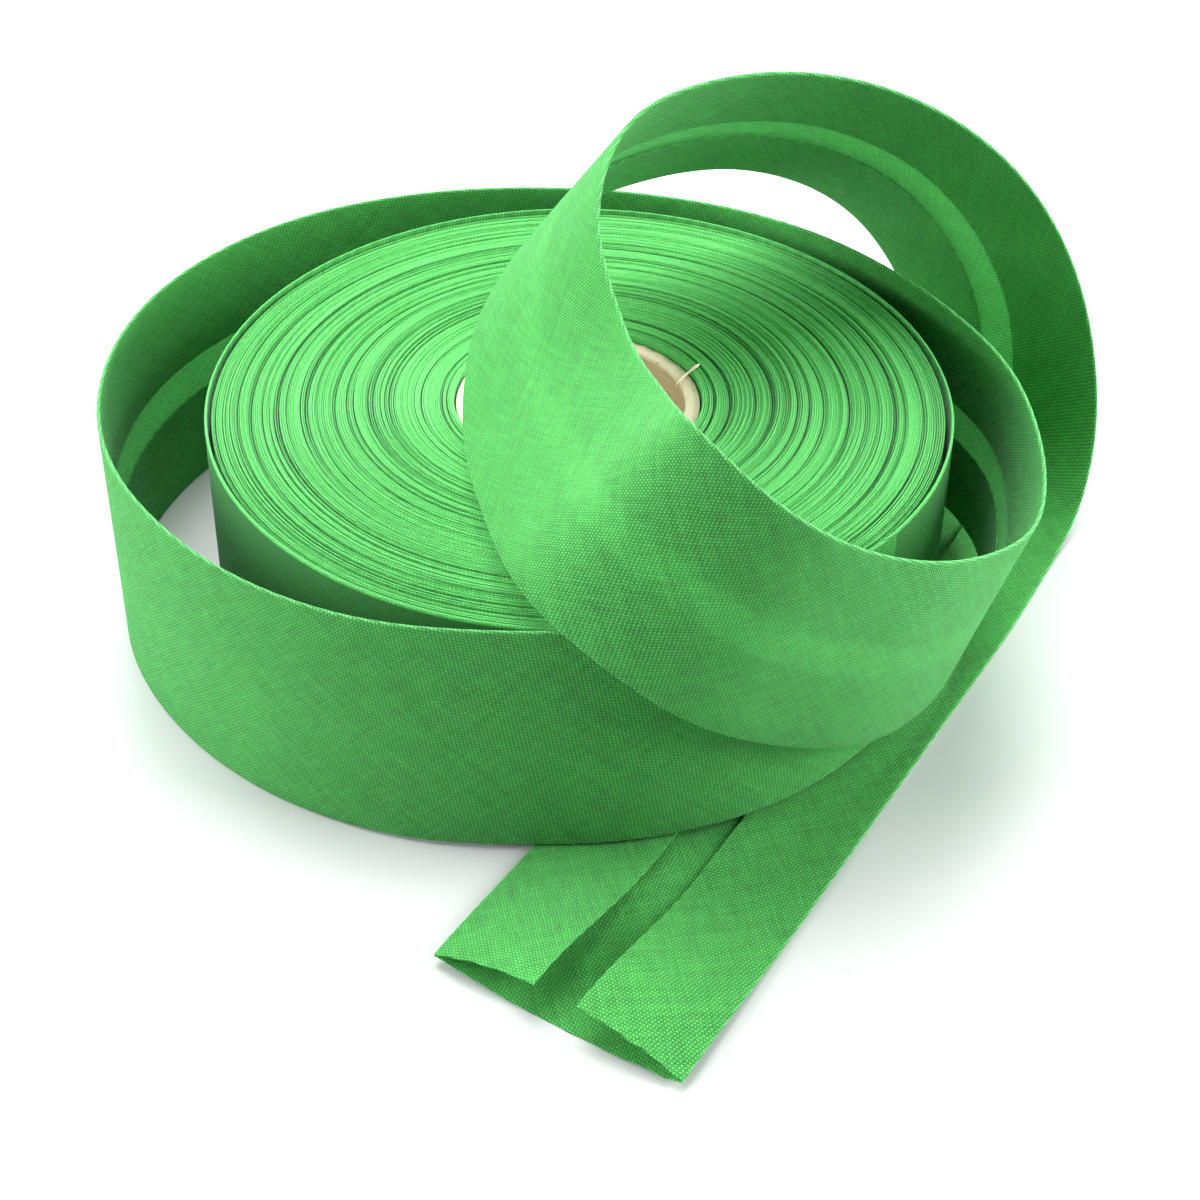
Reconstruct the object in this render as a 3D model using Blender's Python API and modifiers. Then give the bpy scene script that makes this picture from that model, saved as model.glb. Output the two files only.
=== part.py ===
"""A roll of folded bias binding: a card core, the wound roll, and the tape's loose outer end.

The roll lies flat, its axis upright. The loose tape leaves the roll, stands on its edge round it,
climbs across the top in one big loop, comes down behind, and runs out flat under the roll to its
free end, where its two folded flaps have sprung open.
"""

import math

import bpy
import numpy as np
from mathutils import Vector

MM = 0.001

# Driving sizes, in millimetres.
TAPE_WIDTH = 40.0
TAPE_LAYER = 0.5  # one layer of cloth
FOLD_SLOT = 0.3  # the air between a flap and the back of the tape
TAPE_THICK = 2 * TAPE_LAYER + FOLD_SLOT
FLAP_GAP = 6.6  # between the raw edges of the two flaps
CORE_OUTER = 18.9  # radii of the card tube
CORE_INNER = 16.6
CORE_FOOT = 0.5  # the tube's two ends, a little inside the roll's
CORE_TOP = 38.6
PIECE_GAP = 0.35  # between the tube and the first turn
LAST_TURN = 57.9  # outer radius of the wound roll, its last turn standing a little apart
ROLL_HEIGHT = 39.7  # of that last turn
INNER_HEIGHT = 39.0  # of the first one
STANDING_FOOT = 0.1  # clearance under an edge that stands on the ground
LYING = TAPE_THICK / 2 + 0.02  # height of the flat tape's middle
OVER_TAIL = TAPE_THICK + 0.4  # how much higher an edge stands where it crosses the flat tail
CHANNEL_TOP = 2.1  # the roll's underside over the flat tail
CHANNEL_CLEAR = 2.6  # from the channel's side to the edge of the tape in it
SECTION_STEP = 8.0  # spacing of the tape's sections along its length
BEARING_STEP = 8.0  # degrees between the points of its path round the roll
ROLL_SEGMENTS = 64
CORE_SEGMENTS = 56

# The roll's top from the core outwards: turns that rode up, and troughs between them.
#            radius, height
WOUND_TOP = [
    (19.7, 39.5),
    (21.1, 38.9),
    (22.6, 39.7),
    (24.2, 39.2),
    (26.4, 39.9),
    (28.5, 39.0),
    (33.0, 40.0),
    (37.6, 39.3),
    (40.0, 39.9),
    (42.0, 39.3),
    (44.0, 40.0),
    (46.0, 39.1),
    (48.3, 40.0),
    (50.4, 39.4),
    (52.5, 40.0),
    (54.4, 39.2),
    (56.3, 39.8),
    (56.7, 36.5),
    (57.2, 36.5),
    (57.4, 39.7),
]

# Where the tape stands upright round the roll. The bearing is in degrees, clockwise seen from
# above, from the front (-Y). Its foot is on the ground at 0, and over the flat tail at 1.
#        bearing, radius, over the tail
STANDING = [
    (-51, 59.1, 1.0),
    (-30, 59.1, 1.0),
    (-10, 59.3, 1.0),
    (8, 60.2, 0.9),
    (26, 63.0, 0.3),
    (44, 66.0, 0.0),
    (61, 69.2, 0.0),
    (77, 72.3, 0.0),
    (93, 74.0, 0.0),
    (108, 74.5, 0.0),
    (124, 73.5, 0.0),
    (140, 71.0, 0.0),
    (156, 67.6, 0.0),
    (174, 64.5, 0.0),
    (192, 63.0, 0.1),
]

# The big loop: where the tape's lower and upper edges are, in millimetres from the roll's axis
# and the ground. It bulges out at the right, climbs over the front of the roll, turns over at
# the left, arches back to the right and comes down behind.
#       lower edge x, y, z,     upper edge x, y, z
LOOP = [
    ((32.5, 54.5, 1.7), (31.0, 53.0, 41.5)),
    ((49.0, 42.0, 2.8), (46.0, 40.0, 42.6)),
    ((61.0, 26.5, 3.0), (58.0, 24.0, 42.8)),
    ((67.5, 9.0, 2.8), (67.0, 5.0, 42.4)),
    ((64.0, -8.5, 3.6), (69.0, -17.5, 42.6)),
    ((56.0, -29.0, 4.2), (65.5, -35.5, 42.2)),
    ((43.5, -45.5, 9.5), (55.0, -50.0, 47.0)),
    ((28.0, -56.5, 18.5), (41.0, -61.5, 56.0)),
    ((12.0, -64.0, 32.0), (26.5, -69.0, 68.5)),
    ((-5.0, -58.0, 44.4), (14.0, -64.0, 78.0)),
    ((-13.5, -35.0, 43.6), (11.0, -47.5, 72.5)),
    ((-17.0, -12.5, 43.8), (6.5, -30.5, 70.5)),
    ((-15.0, 8.0, 49.5), (2.5, -13.5, 78.5)),
    ((-5.5, 25.5, 55.0), (8.0, 3.5, 85.5)),
    ((9.0, 37.5, 56.0), (25.0, 16.0, 86.0)),
    ((25.0, 46.5, 54.0), (44.5, 24.0, 80.5)),
    ((40.0, 53.5, 46.5), (62.5, 29.5, 69.0)),
    ((52.0, 59.0, 33.5), (76.5, 33.5, 53.0)),
    ((60.0, 59.0, 17.0), (85.5, 33.0, 34.0)),
    ((57.5, 49.0, 3.5), (88.0, 27.5, 13.0)),
    ((52.5, 40.0, 1.2), (85.5, 20.0, 4.5)),
    ((46.5, 29.5, 0.7), (81.0, 12.0, 1.2)),
]

# The tail lies flat from where it comes down to the cut end, which is not quite square.
#                 x, y of the lower edge,  x, y of the upper edge
TAIL_START = ((36.5, 12.0), (71.0, -8.0))
TAIL_END = ((-20.0, -81.0), (15.0, -104.0))
TAIL_STEPS = 4

# How the end opens. Height in millimetres above the flat fold, at the cut end.
FOLDS_RISE = 1.6  # the two folded edges
RAW_EDGES_RISE = 5.6  # the flaps' raw edges
OPEN_LENGTH = 32.0  # the flaps lie flat again this far from the end


def principled(name, colour, roughness):
    """A plain material for one piece."""
    material = bpy.data.materials.new(name)
    material.use_nodes = True
    shader = material.node_tree.nodes["Principled BSDF"]
    shader.inputs["Base Color"].default_value = (*colour, 1.0)
    shader.inputs["Roughness"].default_value = roughness
    shader.inputs["Metallic"].default_value = 0.0
    return material


def add_object(name, mesh, collection, material):
    """A mesh object with its own material, in the roll's collection."""
    piece = bpy.data.objects.new(name, mesh)
    collection.objects.link(piece)
    if material:
        mesh.materials.append(material)
    mesh.shade_smooth()
    mesh.set_sharp_from_angle(angle=math.radians(35))
    return piece


def turned(name, profile, segments, collection, material):
    """A solid of revolution about Z: a closed profile of (radius, height), turned by Screw."""
    mesh = bpy.data.meshes.new(name)
    count = len(profile)
    mesh.from_pydata(
        [(radius * MM, 0.0, height * MM) for radius, height in profile],
        [(i, (i + 1) % count) for i in range(count)],
        [],
    )
    piece = add_object(name, mesh, collection, material)
    screw = piece.modifiers.new("turn", "SCREW")
    screw.axis = "Z"
    screw.steps = screw.render_steps = segments
    screw.use_merge_vertices = True
    screw.merge_threshold = 0.00002
    screw.use_smooth_shade = True
    return piece


def smooth_rows(rows, along, step):
    """Rows at even steps along a smooth curve through the given ones."""
    rows, along = np.array(rows, float), np.array(along, float)
    slope = np.gradient(rows, along, axis=0)
    count = round((along[-1] - along[0]) / step) + 1
    evened = []
    for place in np.linspace(along[0], along[-1], count):
        i = min(int(np.searchsorted(along, place, side="right")) - 1, len(rows) - 2)
        span = along[i + 1] - along[i]
        t = (place - along[i]) / span
        start = (2 * t**3 - 3 * t**2 + 1) * rows[i] + (t**3 - 2 * t**2 + t) * span * slope[i]
        end = (3 * t**2 - 2 * t**3) * rows[i + 1] + (t**3 - t**2) * span * slope[i + 1]
        evened.append(start + end)
    return np.array(evened)


def standing_rows():
    """Lower and upper edge points of the tape where it stands upright round the roll."""
    bearings = [bearing for bearing, _, _ in STANDING]
    rows = []
    for bearing, radius, over_tail in smooth_rows(STANDING, bearings, BEARING_STEP):
        turn = math.radians(bearing)
        foot = STANDING_FOOT + over_tail * OVER_TAIL
        x, y = -radius * math.sin(turn), -radius * math.cos(turn)
        rows.append(((x, y, foot), (x, y, foot + TAPE_WIDTH)))
    return rows


def tail_rows():
    """Lower and upper edge points of the flat tail, evenly spaced to its cut end."""
    rows = []
    for step in range(TAIL_STEPS + 1):
        share = step / TAIL_STEPS
        edges = (
            Vector(start).lerp(Vector(end), share)
            for start, end in zip(TAIL_START, TAIL_END)
        )
        rows.append(tuple((edge.x, edge.y, LYING) for edge in edges))
    return rows


def tape_route(step):
    """The tape's lower and upper edge points, every step along it, and how far along it ends."""
    rows = np.array(standing_rows() + LOOP + tail_rows(), float)
    strides = np.linalg.norm(np.diff(rows.mean(axis=1), axis=0), axis=1)
    along = np.concatenate([[0.0], np.cumsum(strides)])
    route = smooth_rows(rows, along, step)
    coming_down = slice(int(np.argmax(route[:, 1, 2])), None)
    route[coming_down, :, 2] = np.maximum(route[coming_down, :, 2], LYING)
    return route, along[-1]


def fold_outline(opening):
    """The tape's folded section as (across, outwards) points: the back, then each flap.

    Across runs from the lower edge to the upper one, and outwards away from the flaps. At the
    free end opening is 1: the back sags between its folds and the flaps lift off it.
    """
    half, raw = TAPE_WIDTH / 2, FLAP_GAP / 2
    fold, slot_end = 0.4, 0.9  # how far in from the folded edge its round and its slot begin
    back, lap = half / 2, half * 0.6

    def back_rise(across):
        return opening * FOLDS_RISE * (across / half) ** 2

    def flap_rise(across):
        share = (half - abs(across)) / (half - raw)
        lift = (RAW_EDGES_RISE - FOLDS_RISE) * (1.6 * share - 0.6 * share**2)
        return opening * (FOLDS_RISE + lift)

    face, inner_back = TAPE_THICK / 2, TAPE_THICK / 2 - TAPE_LAYER
    outline = [(a, face - back_rise(a)) for a in (fold - half, -back, 0, back, half - fold)]
    outline.append((half, -back_rise(half)))
    for side, level in ((half - fold, -face), (half - slot_end, -inner_back)):
        flap = [(a, level - flap_rise(a)) for a in (side, lap, raw)]
        outline += flap if side == half - fold else flap[::-1]
    outline += [
        (a, inner_back - back_rise(a))
        for a in (half - slot_end, back, 0, -back, slot_end - half)
    ]
    for side, level in ((slot_end - half, -inner_back), (fold - half, -face)):
        flap = [(a, level - flap_rise(a)) for a in (side, -lap, -raw)]
        outline += flap if side == slot_end - half else flap[::-1]
    outline.append((-half, -back_rise(half)))
    return outline


def loose_tape(collection, material):
    """The loose tape, a loft of its folded section along its route."""
    route, length = tape_route(SECTION_STEP)
    middles = route.mean(axis=1)
    ways = np.gradient(middles, axis=0)
    to_end = np.linspace(length, 0.0, len(route))
    vertices = []
    for (lower, upper), middle, way, left in zip(route, middles, ways, to_end):
        across = Vector(upper - lower).normalized()
        outwards = across.cross(Vector(way)).normalized()
        share = max(0.0, 1.0 - left / OPEN_LENGTH)
        for a, n in fold_outline(share * share * (3 - 2 * share)):
            vertices.append((Vector(middle) + across * a + outwards * n) * MM)
    ring = len(fold_outline(0.0))
    faces = [tuple(range(ring))[::-1]]
    for section in range(len(route) - 1):
        base = section * ring
        for i in range(ring):
            j = (i + 1) % ring
            faces.append((base + i, base + j, base + ring + j, base + ring + i))
    faces.append(tuple(range(len(vertices) - ring, len(vertices))))
    mesh = bpy.data.meshes.new("loose_tape")
    mesh.from_pydata(vertices, [], faces)
    return add_object("loose_tape", mesh, collection, material)


def tail_cutter(collection):
    """A slab over the tail's path, which leaves the roll's underside clear of it."""
    edge = Vector(TAIL_START[0])
    run = Vector(TAIL_END[0]) - edge
    heading = math.atan2(run.y, run.x)
    length, width, depth = 300.0, 60.0, 8.0
    side = Vector((-math.sin(heading), math.cos(heading)))
    middle = edge + side * (width / 2 - CHANNEL_CLEAR)
    bpy.ops.mesh.primitive_cube_add(
        size=1.0,
        location=(middle.x * MM, middle.y * MM, (CHANNEL_TOP - depth / 2) * MM),
        rotation=(0.0, 0.0, heading),
    )
    cutter = bpy.context.object
    cutter.name = "tail_cutter"
    cutter.scale = (length * MM, width * MM, depth * MM)
    cutter.hide_render = True
    cutter.display_type = "WIRE"
    for holder in cutter.users_collection:
        holder.objects.unlink(cutter)
    collection.objects.link(cutter)
    return cutter


def centre_on_ground(parts, cutters):
    """Puts all the pieces on an empty, set so that the middle of their footprint is the origin."""
    shared = bpy.context.evaluated_depsgraph_get()
    corners = [
        Vector(corner) for piece in parts.objects for corner in piece.evaluated_get(shared).bound_box
    ]
    base = bpy.data.objects.new("roll_base", None)
    parts.objects.link(base)
    base.location = [
        -(min(c[axis] for c in corners) + max(c[axis] for c in corners)) / 2 for axis in (0, 1)
    ] + [0.0]
    for piece in list(parts.objects) + list(cutters.objects):
        if piece is not base:
            piece.parent = base


def build():
    """Makes the core, the wound roll and the loose tape."""
    for leftover in list(bpy.data.objects):
        bpy.data.objects.remove(leftover, do_unlink=True)
    parts = bpy.data.collections.new("bias_binding_roll")
    cutters = bpy.data.collections.new("cutters")
    for holder in (parts, cutters):
        bpy.context.scene.collection.children.link(holder)

    card = principled("card", (0.42, 0.30, 0.20), 0.85)
    wound_cloth = principled("wound_cloth", (0.08, 0.50, 0.13), 0.90)
    tape_cloth = principled("tape_cloth", (0.05, 0.42, 0.11), 0.90)

    tube = [
        (CORE_OUTER, CORE_TOP),
        (CORE_OUTER, CORE_FOOT),
        (CORE_INNER, CORE_FOOT),
        (CORE_INNER, CORE_TOP),
    ]
    turned("core_tube", tube, CORE_SEGMENTS, parts, card)

    bore = CORE_OUTER + PIECE_GAP
    sides = [(LAST_TURN, ROLL_HEIGHT), (LAST_TURN, 0.0), (bore, 0.0), (bore, INNER_HEIGHT)]
    roll = turned("wound_roll", sides + WOUND_TOP, ROLL_SEGMENTS, parts, wound_cloth)
    channel = roll.modifiers.new("tail_channel", "BOOLEAN")
    channel.operation = "DIFFERENCE"
    channel.object = tail_cutter(cutters)

    loose_tape(parts, tape_cloth)
    centre_on_ground(parts, cutters)


build()
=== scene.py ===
# %% [markdown]
# # A roll of folded bias binding
# Bias binding is a strip of thin cotton cut at 45 degrees to its yarns. Both its long edges are
# folded in, nearly to the middle, and the strip is wound on a card tube. This roll lies on its
# side. Its outer end has come loose: the tape stands on its edge round the roll, climbs over it
# in one big loop, and runs out flat under the roll to the cut end.
#
# The frame holds the sizes and places. This script gives each piece its true surface.

# %% Load the frame
import math

import bpy
import numpy as np
from mathutils import Matrix, Vector


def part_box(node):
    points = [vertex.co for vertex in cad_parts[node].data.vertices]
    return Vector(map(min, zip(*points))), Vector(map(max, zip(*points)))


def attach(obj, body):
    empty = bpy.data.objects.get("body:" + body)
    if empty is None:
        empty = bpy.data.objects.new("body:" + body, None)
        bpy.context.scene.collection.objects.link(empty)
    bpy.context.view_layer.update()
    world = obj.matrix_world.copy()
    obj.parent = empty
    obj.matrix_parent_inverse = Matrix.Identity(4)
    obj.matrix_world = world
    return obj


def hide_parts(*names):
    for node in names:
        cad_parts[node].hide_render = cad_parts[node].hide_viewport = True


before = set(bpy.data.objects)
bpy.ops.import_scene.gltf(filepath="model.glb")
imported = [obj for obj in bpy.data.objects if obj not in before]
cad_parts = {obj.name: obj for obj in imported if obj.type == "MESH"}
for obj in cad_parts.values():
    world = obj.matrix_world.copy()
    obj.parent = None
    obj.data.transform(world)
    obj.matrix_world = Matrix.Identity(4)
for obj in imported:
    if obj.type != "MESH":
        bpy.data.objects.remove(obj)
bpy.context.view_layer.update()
MM = 0.001
core_low, core_high = (np.array(corner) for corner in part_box("core_tube"))
AXIS = Vector(((core_low[0] + core_high[0]) / 2, (core_low[1] + core_high[1]) / 2, 0.0))
print("the roll's axis is at", [round(c, 4) for c in AXIS])

# %% [markdown]
# ## Camera
# The roll is seen from in front and above, from about 0.39 m away, with a short telephoto lens.
# A camera looks down its own -Z with +Y up, so its turn is built from the three directions that
# its axes should have. The roll's axis is the place that everything is measured from.

# %% Camera
CAMERA_PLACE = Vector((0.0, -0.2995, 0.2416))
CAMERA_LENS = 69.8
LOOK_DOWN, LOOK_RIGHT, CAMERA_ROLL = (math.radians(a) for a in (39.03, 0.74, 0.86))


def add_camera():
    forward = Vector((
        math.sin(LOOK_RIGHT) * math.cos(LOOK_DOWN),
        math.cos(LOOK_RIGHT) * math.cos(LOOK_DOWN),
        -math.sin(LOOK_DOWN),
    ))
    level = Vector((math.cos(LOOK_RIGHT), -math.sin(LOOK_RIGHT), 0.0))
    upright = level.cross(forward)
    right = math.cos(CAMERA_ROLL) * level + math.sin(CAMERA_ROLL) * upright
    up = math.cos(CAMERA_ROLL) * upright - math.sin(CAMERA_ROLL) * level
    bpy.ops.object.camera_add()
    camera = bpy.context.object
    camera.name = "camera"
    turn = Matrix((right, up, -forward)).transposed().to_4x4()
    camera.matrix_world = Matrix.Translation(AXIS + CAMERA_PLACE) @ turn
    camera.data.lens = CAMERA_LENS
    camera.data.sensor_width = 36.0
    bpy.context.scene.camera = camera
    return camera


camera = add_camera()
print("camera at", [round(c, 3) for c in camera.location])

# %% [markdown]
# ## Helpers
# A strip of cloth starts as a flat grid, with one column of points for each place across it and
# one row for each step along it. A rule then says where each point goes, and how far along and
# across the flat cloth it lies. Those two lengths become its UV map, in metres, so that the
# weave follows every fold at its true size.

# %% Helpers for grids
def deselect_all():
    bpy.ops.object.select_all(action="DESELECT")


def add_grid(name, columns, rows):
    """A flat grid primitive, and each point's column and row."""
    deselect_all()
    bpy.ops.mesh.primitive_grid_add(x_subdivisions=columns, y_subdivisions=rows, size=1.0)
    piece = bpy.context.object
    piece.name = piece.data.name = name
    flat = np.empty(len(piece.data.vertices) * 3)
    piece.data.vertices.foreach_get("co", flat)
    flat = flat.reshape(-1, 3)
    column = np.rint((flat[:, 0] + 0.5) * columns).astype(int)
    row = np.rint((flat[:, 1] + 0.5) * rows).astype(int)
    return piece, column, row


def place_points(piece, points):
    piece.data.vertices.foreach_set("co", (np.asarray(points) * MM + np.array(AXIS)).ravel())
    piece.data.update()


def loop_corners(mesh, column):
    """For each face corner: its point, and the lowest column of its face."""
    points = np.empty(len(mesh.loops), int)
    mesh.loops.foreach_get("vertex_index", points)
    corners = column[points].reshape(-1, 4)
    return points, np.repeat(corners.min(axis=1), 4)


def write_cloth_map(mesh, along, across):
    """Makes the UV map hold each corner's place on the flat cloth."""
    layer = mesh.uv_layers.active or mesh.uv_layers.new()
    layer.name = "cloth"
    layer.data.foreach_set("uv", (np.stack([along, across], axis=1) * MM).ravel())


def apply_modifier(piece, kind, **settings):
    deselect_all()
    bpy.context.view_layer.objects.active = piece
    piece.select_set(True)
    modifier = piece.modifiers.new(kind.lower(), kind)
    for name, value in settings.items():
        setattr(modifier, name, value)
    bpy.ops.object.modifier_apply(modifier=modifier.name)


def clean_mesh(piece, merge=0.000002):
    """Merges doubled points, turns the faces outwards and shades the piece smooth."""
    deselect_all()
    bpy.context.view_layer.objects.active = piece
    piece.select_set(True)
    bpy.ops.object.mode_set(mode="EDIT")
    bpy.ops.mesh.select_all(action="SELECT")
    bpy.ops.mesh.remove_doubles(threshold=merge)
    bpy.ops.mesh.normals_make_consistent(inside=False)
    bpy.ops.mesh.select_all(action="DESELECT")
    bpy.ops.object.mode_set(mode="OBJECT")
    bpy.ops.object.shade_smooth_by_angle(angle=math.radians(50))


def wander(seed, length, spacing):
    """A smooth random function of a length in mm, about -1 to 1, with bends this far apart."""
    knots = np.random.default_rng(seed).normal(0.0, 0.6, int(length / spacing) + 4)
    places = np.arange(len(knots)) * spacing

    def value(at):
        at = np.asarray(at, float)
        low = np.clip((at / spacing).astype(int), 0, len(knots) - 2)
        t = np.clip((at - places[low]) / spacing, 0.0, 1.0)
        t = t * t * (3 - 2 * t)
        return knots[low] * (1 - t) + knots[low + 1] * t

    return value


# %% [markdown]
# ## The cloth
# The cloth is a plain weave with a closer set of yarns one way than the other: a yarn every
# 0.31 mm, at 42 degrees to the tape's length, and a yarn every 0.44 mm, at 41 degrees the other
# way. The material counts yarns of both sets by two dot products with the cloth map. Sines of
# those counts give the round back of each yarn, the checkered floats where one set lies over
# the other, and the pinholes at the corners between four yarns. Their light and dark are painted
# light and shade: the floats of one set are painted lighter than those of the other, and the
# gaps between yarns and the pinholes are painted darker.
#
# Noise bends the counts a little, so that no two yarns are evenly spaced. Noise stretched along
# each yarn makes thick and thin stretches. Light also passes through thin cotton, so a share of
# the surface is translucent: a single layer glows where two layers don't.
#
# On the wound roll the weave is calmer, because only folded edges show. A point attribute
# paints shade into its furrows, into the gap inside its last turn and onto its outside wall.

# %% Node helpers
class Nodes:
    """Adds nodes to a material and joins them, with each value given as a number or a socket."""

    def __init__(self, name):
        self.material = bpy.data.materials.new(name)
        self.material.use_nodes = True
        self.tree = self.material.node_tree
        self.tree.nodes.clear()

    def add(self, kind, inputs=(), **settings):
        node = self.tree.nodes.new(kind)
        for name, value in settings.items():
            setattr(node, name, value)
        for key, value in dict(inputs).items():
            if isinstance(value, bpy.types.NodeSocket):
                self.tree.links.new(value, node.inputs[key])
            else:
                node.inputs[key].default_value = value
        return node

    def math(self, operation, first, second=0.0, third=0.0, clamp=False):
        node = self.add("ShaderNodeMath", {0: first, 1: second, 2: third}, operation=operation)
        node.use_clamp = clamp
        return node.outputs[0]

    def dot(self, vector, direction):
        node = self.add("ShaderNodeVectorMath", {0: vector, 1: direction}, operation="DOT_PRODUCT")
        return node.outputs["Value"]

    def scaled(self, vector, factors):
        node = self.add("ShaderNodeVectorMath", {0: vector, 1: factors}, operation="MULTIPLY")
        return node.outputs["Vector"]

    def noise(self, vector, scale, detail=2.0, roughness=0.5):
        inputs = {"Vector": vector, "Scale": scale, "Detail": detail, "Roughness": roughness}
        return self.add("ShaderNodeTexNoise", inputs).outputs["Fac"]

    def mix(self, share, first, second):
        inputs = {0: share, 6: first, 7: second}
        return self.add("ShaderNodeMix", inputs, data_type="RGBA").outputs[2]


# %% The cloth's material
YARN_A = (2150.0, -2350.0, 0.0)  # yarns a metre, along and across the tape
YARN_B = (1500.0, 1700.0, 0.0)
HALF_WIDTH = 20.0  # mm, from the tape's middle to its folds


# deep is a colour of painted shade: the pinholes are painted with it, and the wound roll's furrows,
# gap and wall with a darker copy of it.
def cloth_material(name, colour, deep, see_through, edge_light, calm=0.0, furrows=False):
    shade_colour = [share * 0.3 for share in deep]
    n = Nodes(name)
    where = n.add("ShaderNodeUVMap", uv_map="cloth").outputs["UV"]

    drift = n.noise(where, 90.0, 3.0)
    jitter = n.noise(where, 700.0, 1.0)
    counts = []
    for direction, sway in ((YARN_A, 1.0), (YARN_B, -1.0)):
        count = n.math("MULTIPLY_ADD", drift, 1.6 * sway, n.dot(where, direction))
        counts.append(n.math("MULTIPLY_ADD", jitter, 0.55 * sway, count))
    waves = [n.math("SINE", n.math("MULTIPLY", count, math.pi)) for count in counts]
    backs = [n.math("ABSOLUTE", wave) for wave in waves]
    checks = n.math("MULTIPLY", waves[0], waves[1])
    gaps = [n.math("SUBTRACT", 1.0, back) for back in backs]
    holes = n.math("POWER", n.math("MULTIPLY", gaps[0], gaps[1]), 0.7)

    streaks = []
    for (across, along), seed in (((YARN_A, YARN_B), 3.0), ((YARN_B, YARN_A), 11.0)):
        number = n.math("FLOOR", n.dot(where, across))
        run = n.math("MULTIPLY", n.dot(where, along), 0.07)
        place = n.add("ShaderNodeCombineXYZ", {0: number, 1: run, 2: seed}).outputs[0]
        streaks.append(n.noise(place, 0.83, 1.0))
    slubs = n.math("ADD", streaks[0], streaks[1])
    cloudy = n.noise(where, 28.0, 3.0)

    # Painted light and shade: the floats of one yarn set are lighter and those of the other darker,
    # and the gaps between yarns are darker.
    light = n.math("MULTIPLY_ADD", checks, 0.52, 1.10)
    light = n.math("MULTIPLY_ADD", gaps[1], -0.24, light)
    light = n.math("MULTIPLY_ADD", gaps[0], -0.14, light)
    light = n.math("MULTIPLY_ADD", n.math("SUBTRACT", slubs, 1.0), 0.60, light)
    light = n.math("MULTIPLY_ADD", n.math("SUBTRACT", cloudy, 0.5), 0.14, light)
    tone = n.add("ShaderNodeCombineColor", {0: light, 1: light, 2: light}).outputs[0]
    woven = n.add("ShaderNodeMix", {0: 1.0, 6: (*colour, 1.0), 7: tone}, data_type="RGBA",
                  blend_type="MULTIPLY").outputs[2]
    # Painted shade: the pinholes are darkened towards the deep colour.
    pinned = n.mix(n.math("MULTIPLY", holes, 1.1, clamp=True), woven, (*deep, 1.0))
    pinned = n.mix(calm, pinned, (*colour, 1.0))

    # Partly wear and partly painted highlight: the folds are painted paler in fine ticks, as worn
    # cloth and as crests that catch the light. The same pale colour also serves the lint flecks.
    across = n.math("ABSOLUTE", n.dot(where, (0.0, 1000.0, 0.0)))
    off_fold = n.math("ABSOLUTE", n.math("SUBTRACT", across, HALF_WIDTH))
    fold = n.math("SUBTRACT", 1.0, n.math("DIVIDE", off_fold, 0.42), clamp=True)
    ticks = n.math("MULTIPLY_ADD", checks, 0.5, 0.5)
    worn_and_highlit = n.math("MULTIPLY", n.math("MULTIPLY", fold, ticks), edge_light, clamp=True)
    lint = n.noise(where, 1450.0, 1.0, 0.6)
    flecks = n.math("MULTIPLY", n.math("SUBTRACT", lint, 0.80), 9.0, clamp=True)
    pale = n.math("MAXIMUM", worn_and_highlit, n.math("MULTIPLY", flecks, 0.5))
    finished = n.mix(pale, pinned, (0.30, 0.80, 0.36, 1.0))
    if furrows:
        # Painted shade: where the point attribute says so, the colour is darkened towards a darker
        # copy of the deep colour.
        painted_shade = n.add("ShaderNodeAttribute", attribute_name="painted_shade").outputs["Fac"]
        finished = n.mix(n.math("MULTIPLY", painted_shade, 0.97, clamp=True), finished, (*shade_colour, 1.0))

    height = n.math("MULTIPLY", backs[0], backs[1])
    height = n.math("MULTIPLY_ADD", checks, 0.25, height)
    height = n.math("MULTIPLY_ADD", slubs, 0.5, height)
    bump = n.add("ShaderNodeBump", {"Strength": 0.55, "Distance": 0.00006, "Height": height})
    face = n.add("ShaderNodeBsdfPrincipled", {
        "Base Color": finished, "Roughness": 0.85, "Specular IOR Level": 0.20,
        "Sheen Weight": 0.16, "Sheen Roughness": 0.5, "Sheen Tint": (0.65, 1.0, 0.80, 1.0),
        "Normal": bump.outputs[0],
    })
    glow = n.mix(0.45, finished, (0.55, 1.0, 0.60, 1.0))
    through = n.add("ShaderNodeBsdfTranslucent", {"Color": glow, "Normal": bump.outputs[0]})
    both = n.add("ShaderNodeMixShader", {0: see_through, 1: face.outputs[0], 2: through.outputs[0]})
    n.add("ShaderNodeOutputMaterial", {"Surface": both.outputs[0]})
    return n.material


CLOTH_GREEN = (0.100, 0.49, 0.110)
# A colour of painted shade, for the pinholes and, darker still, for the wound roll's furrows, gap
# and wall.
SHADE_GREEN = (0.012, 0.11, 0.012)
tape_cloth = cloth_material("tape_cloth", CLOTH_GREEN, SHADE_GREEN, 0.36, 0.55)
wound_cloth = cloth_material("wound_cloth", CLOTH_GREEN, SHADE_GREEN, 0.04, 0.25, 0.62, True)
print("cloth materials:", tape_cloth.name, wound_cloth.name)

# %% [markdown]
# ## The card
# The core is a tube of paper wound in a slant. Its cut rim is pale and a little furry, its bore
# is browner, with fibres that run round it. Both come from one material: noise stretched round
# the axis for the plies, and a second colour that is mixed in by height near the rim.

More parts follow.
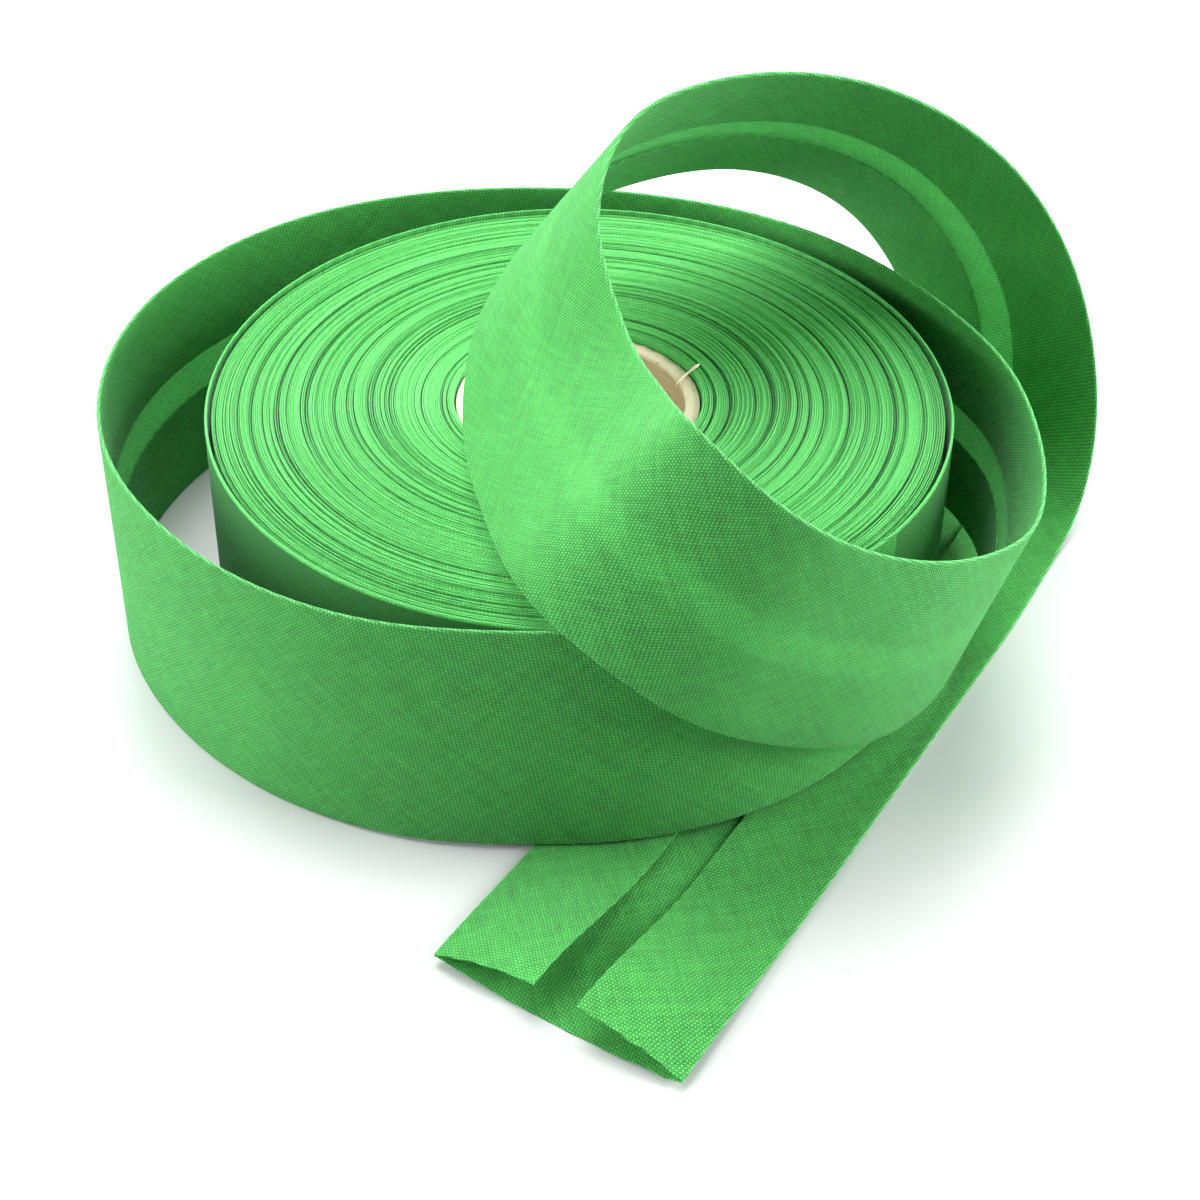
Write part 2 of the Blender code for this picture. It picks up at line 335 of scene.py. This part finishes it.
# %% The card's material
def card_material(name, rim_height):
    n = Nodes(name)
    place = n.add("ShaderNodeTexCoord").outputs["Object"]
    plies = n.noise(n.scaled(place, (300.0, 300.0, 2600.0)), 1.0, 4.0, 0.6)
    fibres = n.noise(n.scaled(place, (2400.0, 2400.0, 700.0)), 1.0, 3.0, 0.7)
    height = n.dot(place, (0.0, 0.0, 1.0 / MM))
    at_rim = n.math("MULTIPLY", n.math("SUBTRACT", height, rim_height - 0.75), 2.5, clamp=True)
    brown = n.mix(plies, (0.42, 0.30, 0.175, 1.0), (0.62, 0.47, 0.30, 1.0))
    pale = n.mix(fibres, (0.70, 0.55, 0.38, 1.0), (0.92, 0.79, 0.61, 1.0))
    grains = n.noise(place, 1900.0, 0.0)
    specks = n.math("MULTIPLY", n.math("SUBTRACT", grains, 0.72), 6.0, clamp=True)
    colour = n.mix(specks, n.mix(at_rim, brown, pale), (0.22, 0.14, 0.08, 1.0))
    bump = n.add("ShaderNodeBump", {"Strength": 0.5, "Distance": 0.00012, "Height": fibres})
    face = n.add("ShaderNodeBsdfPrincipled", {
        "Base Color": colour, "Roughness": 0.9, "Specular IOR Level": 0.2,
        "Normal": bump.outputs[0],
    })
    n.add("ShaderNodeOutputMaterial", {"Surface": face.outputs[0]})
    return n.material


CORE_TOP = core_high[2] / MM
card = card_material("core_card", CORE_TOP)
print("card material:", card.name)

# %% [markdown]
# ## The core
# A card tube has square-cut ends. It starts as a cylinder primitive of the tube's outer size,
# without caps. Solidify gives the wall its thickness inwards, Bevel softens the cut rims, and
# fine cuts round the tube let the rim rise and fall by a tenth of a millimetre, as sawn card
# does.

# %% The core
CORE_OUTER = (core_high[0] - core_low[0]) / 2 / MM
CORE_WALL = 2.3


def make_core():
    deselect_all()
    depth = (core_high[2] - core_low[2]) / MM
    middle = (core_high[2] + core_low[2]) / 2
    bpy.ops.mesh.primitive_cylinder_add(
        vertices=144, radius=CORE_OUTER * MM, depth=depth * MM,
        end_fill_type="NOTHING", location=(AXIS.x, AXIS.y, middle),
    )
    core = bpy.context.object
    core.name = core.data.name = "card_tube"
    bpy.ops.object.transform_apply(location=True, rotation=True, scale=True)
    apply_modifier(core, "SOLIDIFY", thickness=CORE_WALL * MM, offset=-1.0, use_even_offset=True)
    apply_modifier(core, "BEVEL", width=0.00022, segments=3, limit_method="ANGLE")
    rise = wander(5, 400.0, 3.0)
    for point in core.data.vertices:
        height = point.co.z / MM
        if height > CORE_TOP - 1.0:
            way = math.atan2(point.co.y - AXIS.y, point.co.x - AXIS.x)
            point.co.z += 0.11 * float(rise(60.0 * (way + math.pi))) * MM
    core.data.materials.append(card)
    clean_mesh(core)
    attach(core, "root")
    return core


core = make_core()
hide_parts("core_tube")
print(core.name, len(core.data.polygons), "faces")

# %% [markdown]
# A scrap of the core's paper has torn, and lies twisted across the rim at the back right. It
# starts as a small cylinder along the rim's radius. Its rings are then swollen, pinched and
# bent, as twisted paper is.

# %% The torn scrap on the core's rim
SCRAP_ANGLE = math.radians(20.0)  # from +X, seen from above
#            along the radius, sideways, height over the rim, thickness, all in mm
SCRAP = [
    (15.9, -0.9, -0.3, 0.20),
    (16.3, -0.6, 0.25, 0.50),
    (17.1, -0.2, 0.45, 0.62),
    (17.9, 0.3, 0.50, 0.42),
    (18.6, 0.6, 0.70, 0.36),
    (19.4, 0.7, 1.15, 0.50),
    (20.2, 0.9, 1.45, 0.48),
    (20.8, 1.2, 1.50, 0.22),
]
SCRAP_SIDES = 10


def make_scrap():
    rings = len(SCRAP) - 1
    deselect_all()
    bpy.ops.mesh.primitive_cylinder_add(
        vertices=SCRAP_SIDES, radius=0.5, depth=1.0, end_fill_type="NGON", location=(0, 0, 0)
    )
    scrap = bpy.context.object
    scrap.name = scrap.data.name = "torn_scrap"
    bpy.ops.object.mode_set(mode="EDIT")
    for cut in range(1, rings):
        bpy.ops.mesh.select_all(action="SELECT")
        bpy.ops.mesh.bisect(plane_co=(0, 0, cut / rings - 0.5), plane_no=(0, 0, 1))
    bpy.ops.mesh.select_all(action="DESELECT")
    bpy.ops.object.mode_set(mode="OBJECT")
    out = Vector((math.cos(SCRAP_ANGLE), math.sin(SCRAP_ANGLE), 0.0))
    side = Vector((-math.sin(SCRAP_ANGLE), math.cos(SCRAP_ANGLE), 0.0))
    for point in scrap.data.vertices:
        ring = round((point.co.z + 0.5) * rings)
        radius, sideways, over, thick = SCRAP[ring]
        turn = math.atan2(point.co.y, point.co.x) + 0.5 * ring
        ridge = 1.0 + 0.22 * math.cos(3 * (turn - 0.9 * ring))
        lift = over + CORE_TOP + thick * 0.5 * math.sin(turn) * ridge
        swell = sideways + thick * 0.6 * math.cos(turn) * ridge
        point.co = AXIS + (out * radius + side * swell + Vector((0, 0, lift))) * MM
    apply_modifier(scrap, "SUBSURF", levels=2, render_levels=2)
    scrap.data.materials.append(card)
    clean_mesh(scrap)
    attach(scrap, "root")
    return scrap


scrap = make_scrap()
print(scrap.name, len(scrap.data.polygons), "faces")

# %% [markdown]
# ## The wound roll
# About a hundred turns of folded tape are wound on the core, and what shows of them is their
# folded edges. Each turn is a small round ridge with a furrow beside it. Some turns ride up and
# some have sunk, so the top is a set of low terraces, and here and there a furrow is deep. The
# last turn stands a little off the rest.
#
# One grid makes all of it: a row for each step round the axis, and columns that run out across
# the ridges, down the outside, in across the underside and up inside the bore. Merging its ends
# closes the ring. The edges are folds, so the cloth map puts them at the fold line.

# %% Sizes of the roll
TURNS = 105
STEPS_ROUND = 168
RIDGE_POINTS = 4  # columns to a turn
FIRST_RADIUS = CORE_OUTER + 0.30
LAST_THICK = 0.55
TAPE_WIDTH = 2 * HALF_WIDTH
TURN_START = -51.0  # bearing where the last turn ends, hidden under the big loop

# A bearing is in degrees, clockwise seen from above, from the front (-Y).
#        bearing, outer radius of the last turn, gap inside it
LAST_TURN = [
    (-51, 57.35, 0.12),
    (0, 57.15, 0.10),
    (40, 57.15, 0.14),
    (75, 57.25, 0.38),
    (110, 57.40, 0.55),
    (150, 57.45, 0.50),
    (200, 57.55, 0.50),
    (240, 57.75, 0.60),
    (275, 57.90, 0.75),
    (295, 57.70, 0.45),
    (309, 57.35, 0.12),
]

# Deep furrows: where each runs at the left and at the right, how deep it is there, in mm.
#        radius left, right, depth left, right
FURROWS = [
    (21.1, 21.1, 0.7, 0.9),
    (24.2, 23.7, 0.6, 1.3),
    (28.5, 27.4, 0.5, 0.9),
    (31.5, 30.3, 0.2, 0.8),
    (35.2, 34.0, 0.2, 0.9),
    (37.6, 35.9, 0.9, 0.5),
    (39.3, 38.0, 0.2, 0.6),
    (42.0, 41.9, 0.9, 0.9),
    (45.9, 44.5, 0.7, 0.5),
    (50.4, 49.1, 0.8, 0.9),
    (52.3, 53.3, 0.7, 0.7),
    (54.4, 55.3, 0.5, 0.6),
]

# %% [markdown]
# The rule for the roll's top says how high each ridge stands at each bearing. The tape's edge
# wanders up and down along its length. Where it leaves one turn it enters the next, so a high
# stretch is a long arc. Towards the front the turns have spread a little, and their furrows
# are deeper.

# %% The roll's top as a rule
pitch = (57.2 - LAST_THICK - 0.3 - FIRST_RADIUS) / (TURNS - 1)
wound_length = 2 * math.pi * (FIRST_RADIUS * TURNS + pitch * TURNS**2 / 2)
edge_wander = wander(11, wound_length, 85.0)
edge_quiver = wander(12, wound_length, 9.0)
furrow_wander = wander(13, wound_length, 60.0)
terrace = wander(14, TURNS * 10.0, 32.0)
chance = np.random.default_rng(15).random((2, TURNS + 2))
is_deep = chance[0] < 0.32  # a third of the furrows are deep, and the rest hardly show
turn_depth = np.where(is_deep, 0.4 + 0.6 * chance[1], 0.12 * chance[1])
turn_step = np.random.default_rng(16).normal(0.0, 0.09, TURNS + 2)


def round_bearing(step):
    return TURN_START + 360.0 * step / STEPS_ROUND


def seam_blend(step):
    """0 nearly all the way round, rising to 1 where a turn's end meets its own start."""
    return np.clip((step / STEPS_ROUND - 0.95) / 0.05, 0.0, 1.0)


def along_turn(turn, step):
    """How far along the tape a place on a turn is, in mm."""
    turns = turn + step / STEPS_ROUND
    return 2 * math.pi * (FIRST_RADIUS * turns + pitch * turns**2 / 2)


def seamless(rule, turn, step):
    """A rule of the length along the tape, eased so that each turn closes on itself."""
    ease = seam_blend(step)
    return rule(along_turn(turn, step)) * (1 - ease) + rule(along_turn(turn, step * 0)) * ease


def last_turn_at(bearing):
    bearings, radii, gaps = zip(*LAST_TURN)
    return np.interp(bearing, bearings, radii), np.interp(bearing, bearings, gaps)


def furrow_depth(radius, bearing):
    leftness = 0.5 + 0.5 * np.sin(np.radians(bearing))
    depth = np.zeros_like(radius)
    for left, right, deep_left, deep_right in FURROWS:
        centre = left * leftness + right * (1 - leftness)
        deep = deep_left * leftness + deep_right * (1 - leftness)
        depth = np.maximum(depth, deep * np.exp(-(((radius - centre) / 0.26) ** 2)))
    return depth


def front_share(bearing):
    away = (bearing - 22.0 + 180.0) % 360.0 - 180.0
    return np.exp(-((away / 52.0) ** 2))


def ridge_height(turn, step, radius, bearing):
    rise = 0.17 * seamless(edge_wander, turn, step) + 0.05 * seamless(edge_quiver, turn, step)
    rise += 0.20 * terrace(turn * 10.0) + turn_step[turn] - 0.35 * furrow_depth(radius, bearing)
    hump = 0.35 * np.exp(-(((radius - 33.0) / 9.0) ** 2))
    return 39.35 + hump + np.clip(rise, -0.8, 0.45)


def furrow_drop(turn, step, radius, bearing):
    """How far the furrow before a turn lies under its ridge."""
    usual = 0.08 + 0.80 * turn_depth[turn] * (0.7 + 0.6 * seamless(furrow_wander, turn, step))
    spread = usual * (1.0 + 2.2 * front_share(bearing))
    return np.maximum(spread, 0.08) + 1.1 * furrow_depth(radius, bearing)


# %% [markdown]
# Under the roll's right part lies the flat tail of the tape. The turns there ride up over it.
# The two edges of the tail are straight lines on the ground, so a distance from the line of its
# left edge says how far each point of the underside is lifted.

# %% The tail's place, and the roll's underside over it
#                 x, y of the lower edge,  x, y of the upper edge
TAIL_START = ((36.5, 12.0), (71.0, -8.0))
TAIL_END = ((-20.0, -81.0), (15.0, -104.0))
RIDE_UP = 1.25  # how far the tail lifts what lies on it


def over_tail(x, y):
    """1 on the tail, 0 off it, with a soft step a few mm wide."""
    (start_x, start_y), (end_x, end_y) = TAIL_START[0], TAIL_END[0]
    run = math.hypot(end_x - start_x, end_y - start_y)
    inside = ((y - start_y) * (end_x - start_x) - (x - start_x) * (end_y - start_y)) / run
    share = np.clip((inside + 4.5) / 4.0, 0.0, 1.0)
    return share * share * (3 - 2 * share)


# %% The columns of the roll's grid
WALL_LEVELS = (0.4, 2.0, 6.0, 12.0, 20.0, 28.0, 35.0, 38.4)  # mm down from the last turn's edge
BORE_LEVELS = (1.0, 20.0, 37.5)  # mm up from the ground
WALL_SHADE = 0.66  # painted shade: the outside wall is darkened, as the standing tape shades it
ROUND_DOWN = {0.25: 0.055, 0.5: 0.0, 0.75: 0.055}  # how far a ridge falls away beside its crest


def roll_columns():
    """For each column: what it is, which turn it belongs to, and its share of that turn."""
    columns = []
    for turn in range(TURNS - 1):
        columns += [("top", turn, part / RIDGE_POINTS) for part in range(RIDGE_POINTS)]
    columns += [("gap", TURNS - 1, 0.0), ("gap", TURNS - 1, 1.0)]
    columns += [("last", TURNS - 1, part / RIDGE_POINTS) for part in range(1, RIDGE_POINTS + 1)]
    columns += [("outside", TURNS - 1, down) for down in WALL_LEVELS]
    columns += [("under", turn, 0.0) for turn in range(TURNS - 1, -1, -1)]
    columns += [("inside", 0, up) for up in BORE_LEVELS]
    return columns + [columns[0]]


def roll_point(kind, turn, share, step):
    """Where a point of the roll's grid goes, in mm from the axis, and how much shade is painted on
    it.
    """
    bearing = round_bearing(step)
    outer, gap = last_turn_at(bearing)
    body = outer - LAST_THICK - gap
    painted_shade = 0 * bearing
    pitch_here = (body - FIRST_RADIUS) / (TURNS - 1)
    radius = FIRST_RADIUS + pitch_here * (turn + share)
    if kind == "top":
        crest = ridge_height(turn, step, radius, bearing)
        height = crest - ROUND_DOWN.get(share, 0.0)
        if share == 0:
            drop = furrow_drop(turn, step, radius, bearing)
            # Painted shade in the furrow, darker the deeper the furrow.
            height, painted_shade = crest - drop, np.clip((drop - 0.06) / 0.60, 0.0, 1.0)
        elif share == 0.25:
            wide = np.clip((furrow_drop(turn, step, radius, bearing) - 0.60) / 0.6, 0.0, 0.95)
            # Painted shade on the shoulder beside a wide furrow.
            height, painted_shade = height - 0.4 * wide, wide
    elif kind == "gap":
        radius = body + gap * share
        # Painted shade, full, in the gap inside the last turn.
        height, painted_shade = 39.0 - 6.5 * np.clip(gap / 0.4, 0.15, 1.0), 1.0 + 0 * bearing
    elif kind == "last":
        radius = outer - LAST_THICK * (1 - share)
        height = 39.85 - 0.35 * (2 * share - 1) ** 2 + 0.12 * seamless(edge_wander, turn, step)
    elif kind == "outside":
        radius = outer + 0.10 * math.sin(math.pi * share / TAPE_WIDTH)
        # Painted shade over the whole outside wall.
        height, painted_shade = 39.6 - share + 0 * bearing, WALL_SHADE + 0 * bearing
    elif kind == "under":
        height = 0.06 + 0.28 * (turn % 2) + 0 * bearing
        radius = np.minimum(radius, outer - 0.3)
    else:
        radius, height = FIRST_RADIUS + 0 * bearing, share + 0 * bearing
    sway = 0.07 * np.sin(np.radians(bearing * 3.0) + turn * 0.21) * math.sin(math.pi * turn / TURNS)
    radius = radius + (sway if kind in ("top", "under") else 0.0)
    x, y = -radius * np.sin(np.radians(bearing)), -radius * np.cos(np.radians(bearing))
    lowest = RIDE_UP * over_tail(x, y) + 0.06
    if kind in ("outside", "under", "inside"):
        height = np.maximum(height, lowest + (0.28 * (turn % 2) if kind == "under" else 0.0))
    return np.stack([x, y, height, painted_shade], axis=-1)


# %% Make the wound roll
def make_roll():
    columns = roll_columns()
    roll, column, row = add_grid("wound_turns", len(columns) - 1, STEPS_ROUND)
    steps = np.arange(STEPS_ROUND + 1) % STEPS_ROUND
    laid = np.stack([roll_point(*entry, steps.astype(float)) for entry in columns])
    place_points(roll, laid[column, row, :3])
    # The painted shade goes on as a point attribute, which the material reads.
    painted_shade = roll.data.attributes.new("painted_shade", "FLOAT", "POINT")
    painted_shade.data.foreach_set("value", laid[column, row, 3])

    points, face_column = loop_corners(roll.data, column)
    turn = np.array([entry[1] for entry in columns], float)[face_column]
    right_side = column[points] > face_column
    along = along_turn(turn, row[points].astype(float))
    across = np.empty(len(points))
    kinds = np.array([entry[0] for entry in columns])[face_column]
    shares = np.array([entry[2] for entry in columns])[face_column]
    down_the_wall = (kinds == "last") & (shares == 1.0)
    on_top = np.isin(kinds, ("top", "gap", "last")) & ~down_the_wall
    part = np.where(kinds == "gap", 0.0, shares) + right_side / RIDGE_POINTS
    across[on_top] = HALF_WIDTH + (part[on_top] - 0.5) * 0.9
    across[~on_top] = laid[column, row][points][~on_top, 2] - HALF_WIDTH
    write_cloth_map(roll.data, along, across)

    roll.data.materials.append(wound_cloth)
    clean_mesh(roll)
    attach(roll, "root")
    return roll


roll = make_roll()
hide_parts("wound_roll")
print(roll.name, len(roll.data.polygons), "faces")

# %% [markdown]
# ## The loose tape
# The tape is one flat strip of cloth, 73.4 mm wide. It is cut flat here as a grid, its two sides
# are folded in, and the folded tape is laid along its route. The route is two short tables: the
# stretch that stands upright round the roll, by bearing and radius, and the big loop, by where
# the tape's two edges pass. Smooth curves run through them.
#
# A cloth simulation was not used: the tape holds the curve it took on the roll, and only the
# route gives the loop its shape.

# %% The tape's route: the tables
STANDING_FOOT = 0.1
OVER_TAIL = RIDE_UP
LYING = 0.30  # height of the flat tape's middle

#        bearing, radius, over the tail
STANDING = [
    (-51, 58.3, 1.0),
    (-30, 58.6, 1.0),
    (-10, 58.9, 1.0),
    (8, 59.8, 0.9),
    (26, 62.8, 0.3),
    (44, 66.0, 0.0),
    (61, 69.2, 0.0),
    (77, 72.3, 0.0),
    (93, 74.0, 0.0),
    (108, 74.5, 0.0),
    (124, 73.5, 0.0),
    (140, 71.0, 0.0),
    (156, 67.6, 0.0),
    (174, 64.5, 0.0),
    (192, 63.0, 0.1),
]

#       lower edge x, y, z,     upper edge x, y, z
LOOP = [
    ((32.5, 54.5, 1.4), (31.0, 53.0, 41.3)),
    ((49.0, 42.0, 2.4), (46.0, 40.0, 42.3)),
    ((61.0, 26.5, 2.7), (58.0, 24.0, 42.6)),
    ((67.5, 9.0, 2.6), (67.0, 5.0, 42.3)),
    ((64.0, -8.5, 3.4), (69.0, -17.5, 42.5)),
    ((56.0, -29.0, 4.2), (65.5, -35.5, 42.2)),
    ((43.5, -45.5, 9.5), (55.0, -50.0, 47.0)),
    ((28.0, -56.5, 18.5), (41.0, -61.5, 56.0)),
    ((12.0, -64.0, 32.0), (26.5, -69.0, 68.5)),
    ((-5.0, -58.0, 44.4), (14.0, -64.0, 78.0)),
    ((-13.5, -35.0, 43.6), (11.0, -47.5, 72.5)),
    ((-17.0, -12.5, 43.8), (6.5, -30.5, 70.5)),
    ((-15.0, 8.0, 49.5), (2.5, -13.5, 78.5)),
    ((-5.5, 25.5, 55.0), (8.0, 3.5, 85.5)),
    ((9.0, 37.5, 56.0), (25.0, 16.0, 86.0)),
    ((25.0, 46.5, 54.0), (44.5, 24.0, 80.5)),
    ((40.0, 53.5, 46.5), (62.5, 29.5, 69.0)),
    ((52.0, 59.0, 33.5), (76.5, 33.5, 53.0)),
    ((60.0, 59.0, 17.0), (85.5, 33.0, 34.0)),
    ((57.5, 49.0, 3.5), (88.0, 27.5, 13.0)),
    ((52.5, 40.0, 1.0), (85.5, 20.0, 4.2)),
    ((46.5, 29.5, 0.45), (81.0, 12.0, 0.8)),
]


# %% The tape's route: a smooth curve through the rows
BEARING_STEP = 8.0
TAIL_STEPS = 4
ROW_STEP = 1.5  # mm between the rows of the cloth's grid


def smooth_rows(rows, along, step):
    """Rows at even steps along a smooth curve through the given ones."""
    rows, along = np.array(rows, float), np.array(along, float)
    slope = np.gradient(rows, along, axis=0)
    count = round((along[-1] - along[0]) / step) + 1
    evened = []
    for place in np.linspace(along[0], along[-1], count):
        i = min(int(np.searchsorted(along, place, side="right")) - 1, len(rows) - 2)
        span = along[i + 1] - along[i]
        t = (place - along[i]) / span
        start = (2 * t**3 - 3 * t**2 + 1) * rows[i] + (t**3 - 2 * t**2 + t) * span * slope[i]
        end = (3 * t**2 - 2 * t**3) * rows[i + 1] + (t**3 - t**2) * span * slope[i + 1]
        evened.append(start + end)
    return np.array(evened)


def eased(rows, reach):
    """The rows with small kinks rounded off, by a soft average over this many rows each way."""
    weights = np.hanning(2 * reach + 3)[1:-1]
    weights /= weights.sum()
    padded = np.concatenate([
        2 * rows[0] - rows[reach:0:-1], rows, 2 * rows[-1] - rows[-2:-reach - 2:-1],
    ])
    return sum(w * padded[i:i + len(rows)] for i, w in enumerate(weights))


def tape_route():
    """The tape's lower and upper edge points, row by row, in mm, and its length."""
    rows = []
    bearings = [bearing for bearing, _, _ in STANDING]
    for bearing, radius, lifted in smooth_rows(STANDING, bearings, BEARING_STEP):
        foot = STANDING_FOOT + lifted * OVER_TAIL
        x = -radius * math.sin(math.radians(bearing))
        y = -radius * math.cos(math.radians(bearing))
        rows.append(((x, y, foot), (x, y, foot + TAPE_WIDTH)))
    rows += LOOP
    for step in range(TAIL_STEPS + 1):
        share = step / TAIL_STEPS
        rows.append(tuple(
            (a[0] + (b[0] - a[0]) * share, a[1] + (b[1] - a[1]) * share, LYING)
            for a, b in zip(TAIL_START, TAIL_END)
        ))
    rows = np.array(rows, float)
    strides = np.linalg.norm(np.diff(rows.mean(axis=1), axis=0), axis=1)
    along = np.concatenate([[0.0], np.cumsum(strides)])
    route = eased(smooth_rows(rows, along, ROW_STEP), 5)
    coming_down = slice(int(np.argmax(route[:, 1, 2])), None)
    route[coming_down, :, 2] = np.maximum(route[coming_down, :, 2], LYING)
    return route, along[-1]


route, route_length = tape_route()
print("loose tape:", len(route), "rows,", round(route_length), "mm long")

# %% [markdown]
# Across the tape, the flat cloth's width is folded: a back, two round folds and two flaps that
# leave a narrow gap between their raw edges. At the cut end the folds have lost their press.
# The flaps lift, most at their raw edges, and the back sags between its folds. Elsewhere each
# flap lies on the back with a little air under it, here more and there less.

# %% The folded section
CLOTH = 0.20  # mm, one layer
LAYER_GAP = 0.42  # from the middle of the back to the middle of a flap
FLAT_HALF = 36.7  # mm, from the middle of the cloth to its raw edge
FOLDS_RISE = 1.6
RAW_EDGES_RISE = 5.6
OPEN_LENGTH = 34.0
fold_turn = math.pi * LAYER_GAP / 4  # half the cloth in one fold
fold_centre = HALF_WIDTH - LAYER_GAP / 2


def across_stations():
    """Where the grid's columns lie across the flat cloth, close together round the folds."""
    back = np.linspace(0.0, HALF_WIDTH - fold_turn, 9)
    fold = np.linspace(HALF_WIDTH - fold_turn, HALF_WIDTH + fold_turn, 7)[1:]
    flap = np.linspace(HALF_WIDTH + fold_turn, FLAT_HALF, 9)[1:]
    side = np.concatenate([back, fold, flap])
    return np.concatenate([-side[:0:-1], side])


def folded(across, opening, air):
    """A place across the flat cloth, folded: (across the tape, outwards from its flaps)."""
    side, out = np.sign(across), np.abs(across)
    turn = np.clip((out - HALF_WIDTH + fold_turn) / (2 * fold_turn), 0.0, 1.0) * math.pi
    in_fold = fold_centre + LAYER_GAP / 2 * np.sin(turn)
    on_back = out * fold_centre / (HALF_WIDTH - fold_turn)
    on_flap = fold_centre - (out - HALF_WIDTH - fold_turn)
    is_back, is_flap = out < HALF_WIDTH - fold_turn, out > HALF_WIDTH + fold_turn
    place = np.where(is_back, on_back, np.where(is_flap, on_flap, in_fold))
    level = LAYER_GAP / 2 * np.cos(turn)
    raw = fold_centre - (FLAT_HALF - HALF_WIDTH - fold_turn)
    share = np.clip((HALF_WIDTH - place) / (HALF_WIDTH - raw), 0.0, 1.0)
    sag = opening * FOLDS_RISE * (place / HALF_WIDTH) ** 2
    lift = (RAW_EDGES_RISE - FOLDS_RISE) * (1.6 * share - 0.6 * share**2)
    flap_rise = opening * (FOLDS_RISE + lift) + air * share**1.5
    return side * place, level - np.where(is_flap, flap_rise, sag)


# %% Make the loose tape
def make_loose_tape():
    stations = across_stations()
    rows = len(route)
    tape, column, row = add_grid("folded_tape", len(stations) - 1, rows - 1)
    middle = route.mean(axis=1)
    across = route[:, 1] - route[:, 0]
    across /= np.linalg.norm(across, axis=1, keepdims=True)
    way = np.gradient(middle, axis=0)
    way /= np.linalg.norm(way, axis=1, keepdims=True)
    outwards = np.cross(across, way)
    outwards /= np.linalg.norm(outwards, axis=1, keepdims=True)

    along = np.linspace(0.0, route_length, rows)
    left = route_length - along
    opening = np.clip(1.0 - left / OPEN_LENGTH, 0.0, 1.0)
    opening = opening**2 * (3 - 2 * opening)
    flap_air = wander(21, route_length, 38.0)
    ripple = wander(22, route_length, 16.0)
    laid = np.empty((len(stations), rows, 3))
    for i, station in enumerate(stations):
        air = 0.22 + 0.20 * flap_air(along + (9.0 if station > 0 else 0.0))
        place, out = folded(np.full(rows, station), opening, air)
        out = out + 0.07 * ripple(along + 0.35 * station)
        laid[i] = middle + across * place[:, None] + outwards * out[:, None]
    ragged = np.random.default_rng(23).normal(0.0, 0.09, len(stations))
    laid[:, -1] += ragged[:, None] * way[-1]
    place_points(tape, laid[column, row])

    points = np.empty(len(tape.data.loops), int)
    tape.data.loops.foreach_get("vertex_index", points)
    write_cloth_map(tape.data, along[row[points]], stations[column[points]])
    apply_modifier(tape, "SOLIDIFY", thickness=CLOTH * MM, offset=0.0)
    tape.data.materials.append(tape_cloth)
    clean_mesh(tape)
    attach(tape, "root")
    return tape


tape = make_loose_tape()
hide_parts("loose_tape")
print(tape.name, len(tape.data.polygons), "faces")

# %% [markdown]
# ## Floor and light
# The roll lies on plain white, in soft light from all round: strong from the left, the right
# and above, and weaker from the side of the camera. Wide area lamps give shadows with no edge.

# %% Floor
def floor_material():
    n = Nodes("white_floor")
    place = n.add("ShaderNodeTexCoord").outputs["Object"]
    tone = n.mix(n.noise(place, 6.0, 2.0), (0.56, 0.585, 0.58, 1.0), (0.58, 0.60, 0.595, 1.0))
    face = n.add("ShaderNodeBsdfPrincipled", {"Base Color": tone, "Roughness": 0.7})
    n.add("ShaderNodeOutputMaterial", {"Surface": face.outputs[0]})
    return n.material


deselect_all()
bpy.ops.mesh.primitive_plane_add(size=6.0, location=(0, 0, -0.00005))
floor = bpy.context.object
floor.name = "floor"
floor.data.materials.append(floor_material())

# %% Lights
#        name, place (x, y, z) in m, side in m, watts
LAMPS = [
    ("lamp_left", (-0.85, 0.00, 0.38), 0.7, 14.0),
    ("lamp_right", (0.90, -0.05, 0.38), 0.7, 17.0),
    ("lamp_above", (-0.10, 0.33, 1.05), 0.7, 16.5),
    ("lamp_back", (0.00, 0.95, 0.60), 0.7, 12.0),
]
for name, place, side, watts in LAMPS:
    bpy.ops.object.light_add(type="AREA", location=place)
    lamp = bpy.context.object
    lamp.name = name
    lamp.data.size = side
    lamp.data.energy = watts
    lamp.rotation_euler = (Vector((0, 0, 0.03)) - Vector(place)).to_track_quat("-Z", "Y").to_euler()

world = bpy.data.worlds.new("studio")
world.use_nodes = True
world.node_tree.nodes["Background"].inputs["Color"].default_value = (0.97, 1.0, 0.99, 1.0)
world.node_tree.nodes["Background"].inputs["Strength"].default_value = 0.20
bpy.context.scene.world = world
bpy.context.scene.view_settings.view_transform = "Standard"
print("lamps:", [name for name, *_ in LAMPS])
